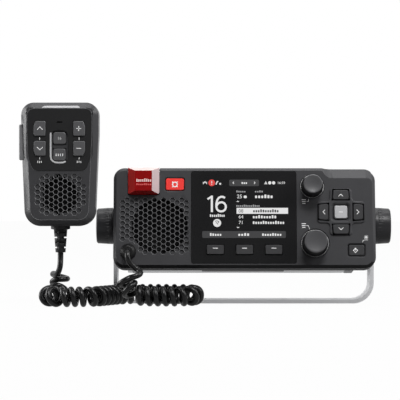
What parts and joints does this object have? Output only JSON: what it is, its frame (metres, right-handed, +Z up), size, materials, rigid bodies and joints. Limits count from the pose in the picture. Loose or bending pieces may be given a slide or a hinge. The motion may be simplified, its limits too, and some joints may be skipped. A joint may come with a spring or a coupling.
{
  "type": "ais transponder",
  "caption": "Fixed-mount marine radio with AIS: tilting unit in a gimbal bracket, with display, knobs, keys and a fist handset on a curly cord.",
  "frame": {"origin": "centre of the underside of the gimbal bracket's base, on the surface that it is screwed to", "axes": "+X to the right seen from the front, along the tilt axis; the face looks towards -Y; +Z up"},
  "size_m": [0.3001, 0.1427, 0.1619],
  "materials": {
    "fascia_plastic": "satin",
    "key_rubber": "satin",
    "ok_rubber": "satin",
    "display_glass": "gloss",
    "display_panel": "gloss",
    "knob_rubber": "satin",
    "red_plastic": "gloss",
    "red_clear": "gloss",
    "housing_metal": "satin",
    "bracket_metal": "satin",
    "black_plastic": "matte",
    "soft_rubber": "matte",
    "cord_rubber": "satin",
    "circuit_board": "satin",
    "silicone": "satin",
    "steel": "brushed",
    "nickel": "satin",
    "paper_cone": "matte",
    "panel_plastic": "satin"
  },
  "bodies": {
    "stand": {"bracket": "bracket_metal", "friction_washers": "soft_rubber", "hanger_clip": "steel", "cord_coil": "cord_rubber", "cord_handset_lead": "cord_rubber", "cord_radio_lead": "cord_rubber"},
    "radio": {"fascia": "fascia_plastic", "rear_housing": "housing_metal", "housing_gasket": "silicone", "display_window": "display_glass", "display_module": "display_panel", "speaker_basket": "steel", "speaker_cone": "paper_cone", "main_board": "circuit_board", "key_mat": "silicone", "cover_hinge_pin": "steel", "encoders": "steel", "housing_screws": "steel", "vhf_socket": "nickel", "gnss_socket": "nickel", "nmea_socket": "nickel", "power_socket": "black_plastic", "cord_grommet": "soft_rubber"},
    "distress_cover": {"distress_cover": "red_clear"},
    "distress_button": {"distress_button": "red_plastic"},
    "overboard_button": {"overboard_button": "red_plastic"},
    "volume_knob": {"volume_knob": "knob_rubber", "volume_shaft": "steel"},
    "channel_knob": {"channel_knob": "knob_rubber", "channel_shaft": "steel"},
    "left_clamp_knob": {"left_clamp_knob": "black_plastic"},
    "right_clamp_knob": {"right_clamp_knob": "black_plastic"},
    "handset": {"handset_front": "black_plastic", "handset_back": "black_plastic", "handset_panel": "panel_plastic", "handset_key_mat": "silicone", "handset_speaker": "steel", "mic_capsule": "steel", "handset_board": "circuit_board", "hang_stud": "steel", "handset_screws": "steel", "cord_boot": "soft_rubber"},
    "ptt_key": {"ptt_key": "soft_rubber"},
    "up_key": {"up_key": "key_rubber"},
    "down_key": {"down_key": "key_rubber"},
    "left_key": {"left_key": "key_rubber"},
    "right_key": {"right_key": "key_rubber"},
    "ok_key": {"ok_key": "ok_rubber"},
    "power_key": {"power_key": "key_rubber"},
    "soft_key_left": {"soft_key_left": "key_rubber"},
    "soft_key_middle": {"soft_key_middle": "key_rubber"},
    "soft_key_right": {"soft_key_right": "key_rubber"},
    "handset_upper_left_key": {"handset_upper_left_key": "key_rubber"},
    "handset_upper_middle_key": {"handset_upper_middle_key": "key_rubber"},
    "handset_upper_right_key": {"handset_upper_right_key": "key_rubber"},
    "handset_lower_left_key": {"handset_lower_left_key": "key_rubber"},
    "handset_lower_middle_key": {"handset_lower_middle_key": "key_rubber"},
    "handset_lower_right_key": {"handset_lower_right_key": "key_rubber"}
  },
  "joints": [
    {"name": "radio_tilt", "type": "hinge", "parent": "stand", "child": "radio", "pos_m": [0, 0, 0.063], "axis": [1, 0, 0], "range_deg": [-15, 15], "deforming": ["cord_radio_lead"]},
    {"name": "handset_lift", "type": "slide", "parent": "stand", "child": "handset", "axis": [0, 0, 1], "range_m": [0, 0.024], "deforming": ["cord_handset_lead"]},
    {"name": "cover_hinge", "type": "hinge", "parent": "radio", "child": "distress_cover", "pos_m": [-0.0808, -0.0329, 0.10674], "axis": [-1, 0, 0], "range_deg": [0, 100], "stiffness_Nm_per_rad": 0.004, "springref_deg": -17.19},
    {"name": "volume_turn", "type": "hinge", "parent": "radio", "child": "volume_knob", "pos_m": [0.0543, -0.03765, 0.09522], "axis": [0, 0.989, -0.1478], "continuous": true},
    {"name": "channel_turn", "type": "hinge", "parent": "radio", "child": "channel_knob", "pos_m": [0.0563, -0.04448, 0.04953], "axis": [0, 0.989, -0.1478], "continuous": true},
    {"name": "left_clamp_turn", "type": "hinge", "parent": "radio", "child": "left_clamp_knob", "pos_m": [-0.106, 0, 0.063], "axis": [1, 0, 0], "continuous": true},
    {"name": "right_clamp_turn", "type": "hinge", "parent": "radio", "child": "right_clamp_knob", "pos_m": [0.106, 0, 0.063], "axis": [1, 0, 0], "continuous": true},
    {"name": "distress_press", "type": "slide", "parent": "radio", "child": "distress_button", "axis": [0, 0.989, -0.1478], "range_m": [0, 0.0008], "stiffness_N_per_m": 300, "springref_m": -0.001},
    {"name": "overboard_press", "type": "slide", "parent": "radio", "child": "overboard_button", "axis": [0, 0.989, -0.1478], "range_m": [0, 0.0008], "stiffness_N_per_m": 300, "springref_m": -0.001},
    {"name": "up_press", "type": "slide", "parent": "radio", "child": "up_key", "axis": [0, 0.989, -0.1478], "range_m": [0, 0.0008], "stiffness_N_per_m": 300, "springref_m": -0.001},
    {"name": "down_press", "type": "slide", "parent": "radio", "child": "down_key", "axis": [0, 0.989, -0.1478], "range_m": [0, 0.0008], "stiffness_N_per_m": 300, "springref_m": -0.001},
    {"name": "left_press", "type": "slide", "parent": "radio", "child": "left_key", "axis": [0, 0.989, -0.1478], "range_m": [0, 0.0008], "stiffness_N_per_m": 300, "springref_m": -0.001},
    {"name": "right_press", "type": "slide", "parent": "radio", "child": "right_key", "axis": [0, 0.989, -0.1478], "range_m": [0, 0.0008], "stiffness_N_per_m": 300, "springref_m": -0.001},
    {"name": "ok_press", "type": "slide", "parent": "radio", "child": "ok_key", "axis": [0, 0.989, -0.1478], "range_m": [0, 0.0008], "stiffness_N_per_m": 300, "springref_m": -0.001},
    {"name": "power_press", "type": "slide", "parent": "radio", "child": "power_key", "axis": [0, 0.989, -0.1478], "range_m": [0, 0.0008], "stiffness_N_per_m": 300, "springref_m": -0.001},
    {"name": "soft_left_press", "type": "slide", "parent": "radio", "child": "soft_key_left", "axis": [0, 0.989, -0.1478], "range_m": [0, 0.0008], "stiffness_N_per_m": 300, "springref_m": -0.001},
    {"name": "soft_middle_press", "type": "slide", "parent": "radio", "child": "soft_key_middle", "axis": [0, 0.989, -0.1478], "range_m": [0, 0.0008], "stiffness_N_per_m": 300, "springref_m": -0.001},
    {"name": "soft_right_press", "type": "slide", "parent": "radio", "child": "soft_key_right", "axis": [0, 0.989, -0.1478], "range_m": [0, 0.0008], "stiffness_N_per_m": 300, "springref_m": -0.001},
    {"name": "handset_upper_left_press", "type": "slide", "parent": "handset", "child": "handset_upper_left_key", "axis": [0, 1, 0], "range_m": [0, 0.0008], "stiffness_N_per_m": 300, "springref_m": -0.001},
    {"name": "handset_upper_middle_press", "type": "slide", "parent": "handset", "child": "handset_upper_middle_key", "axis": [0, 1, 0], "range_m": [0, 0.0008], "stiffness_N_per_m": 300, "springref_m": -0.001},
    {"name": "handset_upper_right_press", "type": "slide", "parent": "handset", "child": "handset_upper_right_key", "axis": [0, 1, 0], "range_m": [0, 0.0008], "stiffness_N_per_m": 300, "springref_m": -0.001},
    {"name": "handset_lower_left_press", "type": "slide", "parent": "handset", "child": "handset_lower_left_key", "axis": [0, 1, 0], "range_m": [0, 0.0008], "stiffness_N_per_m": 300, "springref_m": -0.001},
    {"name": "handset_lower_middle_press", "type": "slide", "parent": "handset", "child": "handset_lower_middle_key", "axis": [0, 1, 0], "range_m": [0, 0.0008], "stiffness_N_per_m": 300, "springref_m": -0.001},
    {"name": "handset_lower_right_press", "type": "slide", "parent": "handset", "child": "handset_lower_right_key", "axis": [0, 1, 0], "range_m": [0, 0.0008], "stiffness_N_per_m": 300, "springref_m": -0.001},
    {"name": "ptt_press", "type": "slide", "parent": "handset", "child": "ptt_key", "axis": [1, 0, 0], "range_m": [0, 0.001], "stiffness_N_per_m": 300, "springref_m": -0.001}
  ]
}
